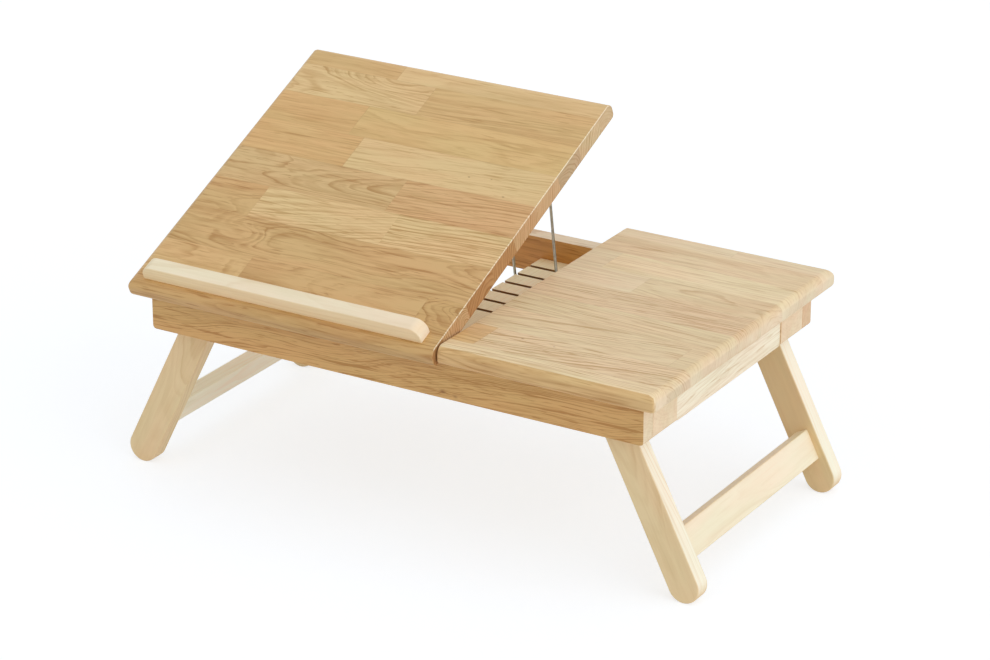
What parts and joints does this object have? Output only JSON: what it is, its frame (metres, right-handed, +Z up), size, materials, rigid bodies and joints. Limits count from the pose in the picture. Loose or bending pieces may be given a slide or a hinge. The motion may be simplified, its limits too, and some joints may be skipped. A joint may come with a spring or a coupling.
{
  "type": "laptop table",
  "caption": "Folding wooden bed table: apron frame, splayed folding legs, fixed side top, and a hinged desk with a book stop that stands on a wire prop in a notched rack.",
  "frame": {"origin": "on the floor, under the centre of the table's outline as it stands in the picture, with the legs opened and the desk raised", "axes": "+X to the right along the long rails, towards the fixed side top; +Y to the rear, away from the book stop and the hinges; +Z up"},
  "size_m": [0.6686, 0.3852, 0.3673],
  "materials": {
    "oak_board": "satin",
    "oak_rail": "satin",
    "pale_hardwood": "satin",
    "dowel_wood": "matte",
    "steel": "satin",
    "zinc_plate": "satin"
  },
  "bodies": {
    "frame": {"front_rail": "oak_rail", "rear_rail": "oak_rail", "left_end_rail": "oak_rail", "right_end_rail": "oak_rail", "front_left_block": "oak_rail", "front_right_block": "oak_rail", "rear_left_block": "oak_rail", "rear_right_block": "oak_rail", "fixed_top": "oak_board", "notched_rack": "pale_hardwood", "frame_dowels": "dowel_wood", "top_dowels": "dowel_wood", "rack_dowels": "dowel_wood", "frame_hinge_leaves": "zinc_plate", "frame_hinge_screws": "steel", "hinge_pins": "steel", "leg_pivot_screws": "steel", "leg_washers": "zinc_plate"},
    "desk": {"desk_top": "oak_board", "book_stop": "pale_hardwood", "book_stop_screws": "steel", "desk_hinge_leaves": "zinc_plate", "desk_hinge_screws": "steel", "prop_clips": "zinc_plate", "prop_clip_screws": "steel"},
    "prop": {"prop_wire": "steel"},
    "right_legs": {"right_front_leg": "pale_hardwood", "right_rear_leg": "pale_hardwood", "right_stretcher": "pale_hardwood", "right_stretcher_dowels": "dowel_wood"},
    "left_legs": {"left_front_leg": "pale_hardwood", "left_rear_leg": "pale_hardwood", "left_stretcher": "pale_hardwood", "left_stretcher_dowels": "dowel_wood"}
  },
  "joints": [
    {"name": "desk_tilt", "type": "hinge", "parent": "frame", "child": "desk", "pos_m": [0, -0.17824, 0.2012], "axis": [1, 0, 0], "range_deg": [0, 66.3]},
    {"name": "prop_swing", "type": "hinge", "parent": "desk", "child": "prop", "pos_m": [0, 0.08618, 0.31487], "axis": [1, 0, 0], "range_deg": [-75.47, 0]},
    {"name": "right_leg_fold", "type": "hinge", "parent": "frame", "child": "right_legs", "pos_m": [0.23385, 0, 0.184], "axis": [0, 1, 0], "range_deg": [0, 116.6]},
    {"name": "left_leg_fold", "type": "hinge", "parent": "frame", "child": "left_legs", "pos_m": [-0.23385, 0, 0.184], "axis": [0, -1, 0], "range_deg": [0, 116.6]}
  ],
  "couplings": [
    {"joint": "prop_swing", "follows": "desk_tilt", "ratio": -1.1383}
  ]
}
